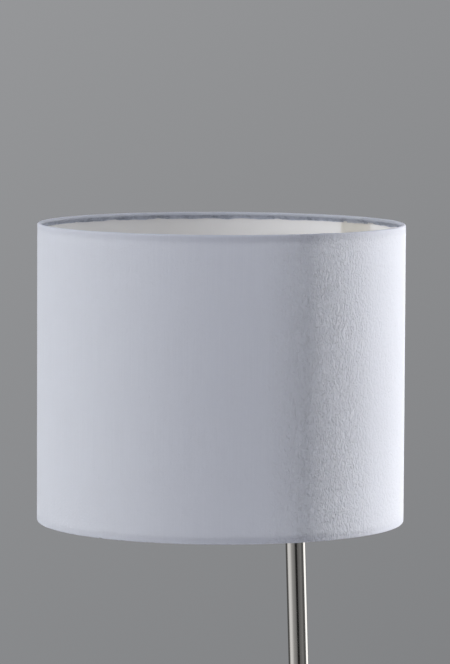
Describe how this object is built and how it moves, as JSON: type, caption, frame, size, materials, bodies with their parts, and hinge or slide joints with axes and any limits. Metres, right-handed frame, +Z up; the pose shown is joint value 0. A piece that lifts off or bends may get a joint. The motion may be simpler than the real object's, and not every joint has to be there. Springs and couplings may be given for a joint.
{
  "type": "tripod floor lamp",
  "caption": "Tripod floor lamp: a leaning metal stem with folding front legs carries a drum shade off-centre on a swivelling, tilting arm.",
  "frame": {"origin": "on the floor under the shade's axis, the middle of the lamp's footprint box", "axes": "+Z up along the shade's axis, +Y towards the stem and the rear leg, -Y between the two front legs"},
  "size_m": [0.6738, 0.45, 1.52],
  "materials": {
    "polished_metal": "polished nickel plate, mirror bright",
    "zinc_steel": "zinc plated",
    "friction_plastic": "low-friction natural nylon",
    "foot_rubber": "matt black, moulded",
    "white_wire": "white powder coat",
    "black_plastic": "matt black, moulded",
    "socket_ceramic": "white glazed",
    "contact_brass": "plain, drawn",
    "shade_fabric": "cool white woven cotton blend",
    "shade_liner": "white, matt, translucent styrene lining",
    "bulb_opal": "opal white",
    "bulb_housing": "white, moulded",
    "bulb_cap": "nickel plated, threaded",
    "bulb_insulator": "black vitrite",
    "circuit_board": "white solder mask",
    "led_chip": "yellow phosphor"
  },
  "bodies": {
    "stand": {"hub": "polished_metal", "hub_set_screws": "zinc_steel", "rear_leg_tube": "polished_metal", "rear_foot": "foot_rubber", "cord_inlet_grommet": "foot_rubber", "stem_tube": "polished_metal", "hinge_bolts": "polished_metal", "hinge_cap_nuts": "polished_metal", "hinge_friction_washers": "friction_plastic", "swivel_journal": "polished_metal", "swivel_friction_washer": "friction_plastic", "swivel_wave_washer": "zinc_steel", "swivel_nut": "zinc_steel"},
    "right_leg": {"right_leg_tube": "polished_metal", "right_leg_knuckle": "polished_metal", "right_leg_foot": "foot_rubber"},
    "left_leg": {"left_leg_tube": "polished_metal", "left_leg_knuckle": "polished_metal", "left_leg_foot": "foot_rubber"},
    "arm": {"swivel_barrel": "polished_metal", "swivel_stop_screw": "zinc_steel", "swivel_cap": "polished_metal", "arm_tube": "polished_metal", "arm_tongue": "polished_metal", "tilt_friction_washers": "friction_plastic"},
    "tilt_knob": {"tilt_knob": "polished_metal"},
    "switch_knob": {"switch_knob": "black_plastic"},
    "head": {"head_fork": "polished_metal", "tilt_bolt": "polished_metal", "lampholder_cap": "polished_metal", "lampholder_nipple_nut": "zinc_steel", "lampholder_body": "polished_metal", "lampholder_insert": "socket_ceramic", "lampholder_screw_shell": "contact_brass", "centre_contact": "contact_brass", "side_contact": "contact_brass", "terminal_blocks": "contact_brass", "terminal_screws": "zinc_steel", "lower_shade_ring": "black_plastic", "upper_shade_ring": "black_plastic", "switch_block": "black_plastic", "switch_bushing": "polished_metal", "bulb_screw_cap": "bulb_cap", "bulb_insulator": "bulb_insulator", "bulb_tip_contact": "bulb_cap", "bulb_housing": "bulb_housing", "bulb_globe": "bulb_opal", "led_board": "circuit_board", "led_chips": "led_chip", "bulb_driver_board": "circuit_board", "shade_liner": "shade_liner", "shade_fabric": "shade_fabric", "shade_top_ring": "white_wire", "shade_bottom_ring": "white_wire", "shade_spokes": "white_wire", "shade_fitter_ring": "white_wire"}
  },
  "joints": [
    {"name": "right_leg_fold", "type": "hinge", "parent": "stand", "child": "right_leg", "pos_m": [0.02386, 0.13575, 0.88], "axis": [0.7125, 0.7016, 0], "range_deg": [0, 23]},
    {"name": "left_leg_fold", "type": "hinge", "parent": "stand", "child": "left_leg", "pos_m": [-0.02386, 0.13575, 0.88], "axis": [0.7125, -0.7016, 0], "range_deg": [0, 23]},
    {"name": "arm_swivel", "type": "hinge", "parent": "stand", "child": "arm", "pos_m": [0, 0.14532, 1.16741], "axis": [0, -0.0509, 0.9987], "range_deg": [-60, 60]},
    {"name": "head_tilt", "type": "hinge", "parent": "arm", "child": "head", "pos_m": [0, 0, 1.16], "axis": [1, 0, 0], "range_deg": [-20, 20]},
    {"name": "tilt_knob_turn", "type": "hinge", "parent": "head", "child": "tilt_knob", "pos_m": [0, 0, 1.16], "axis": [1, 0, 0], "continuous": true},
    {"name": "switch_turn", "type": "hinge", "parent": "head", "child": "switch_knob", "pos_m": [0, -0.03, 1.199], "axis": [0, -1, 0], "range_deg": [0, 90]}
  ]
}
